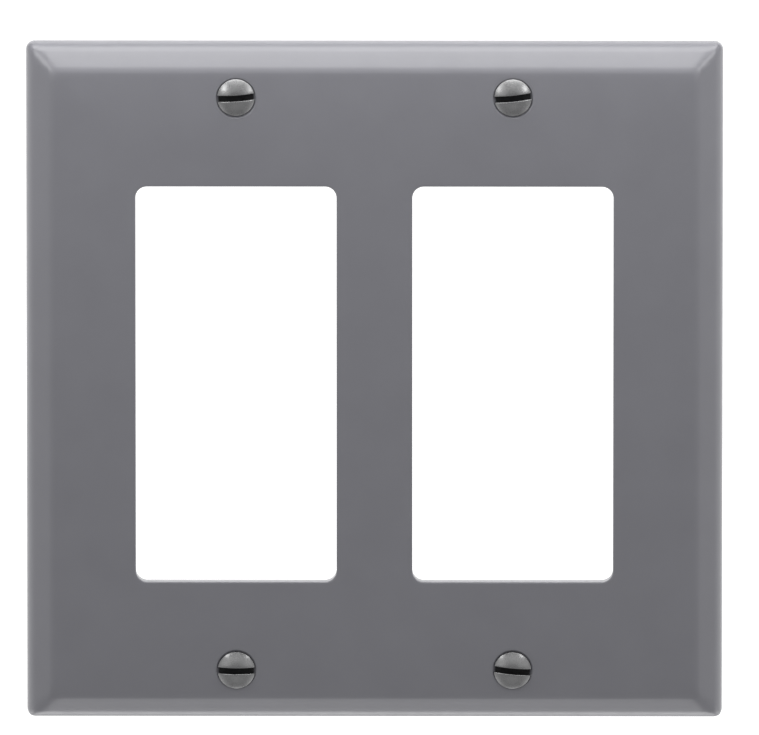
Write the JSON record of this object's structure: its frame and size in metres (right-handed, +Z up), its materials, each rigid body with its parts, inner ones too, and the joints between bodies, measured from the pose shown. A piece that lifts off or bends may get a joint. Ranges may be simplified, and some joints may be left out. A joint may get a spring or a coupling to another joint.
{
  "type": "rocker switch wall plate",
  "caption": "Bevelled rectangular wall plate that covers rocker switches, with rectangular device openings and slotted oval-head screws that turn in countersunk holes.",
  "frame": {"origin": "centre of the plate, and of the screw pattern, on the wall plane, which is the plane of the plate's rear rim", "axes": "+Z up as mounted, +X to the right as seen from the room, +Y into the wall; the face looks along -Y"},
  "size_m": [0.116, 0.0137, 0.1142],
  "materials": {
    "plate_plastic": "satin",
    "screw_paint": "satin"
  },
  "bodies": {
    "plate": {"wall_plate": "plate_plastic"},
    "screw_top_left": {"screw_top_left": "screw_paint"},
    "screw_top_right": {"screw_top_right": "screw_paint"},
    "screw_bottom_left": {"screw_bottom_left": "screw_paint"},
    "screw_bottom_right": {"screw_bottom_right": "screw_paint"}
  },
  "joints": [
    {"name": "screw_top_left_turn", "type": "hinge", "parent": "plate", "child": "screw_top_left", "pos_m": [-0.02301, 0, 0.04841], "axis": [0, 1, 0], "continuous": true},
    {"name": "screw_top_right_turn", "type": "hinge", "parent": "plate", "child": "screw_top_right", "pos_m": [0.02301, 0, 0.04841], "axis": [0, 1, 0], "continuous": true},
    {"name": "screw_bottom_left_turn", "type": "hinge", "parent": "plate", "child": "screw_bottom_left", "pos_m": [-0.02301, 0, -0.04841], "axis": [0, 1, 0], "continuous": true},
    {"name": "screw_bottom_right_turn", "type": "hinge", "parent": "plate", "child": "screw_bottom_right", "pos_m": [0.02301, 0, -0.04841], "axis": [0, 1, 0], "continuous": true}
  ]
}
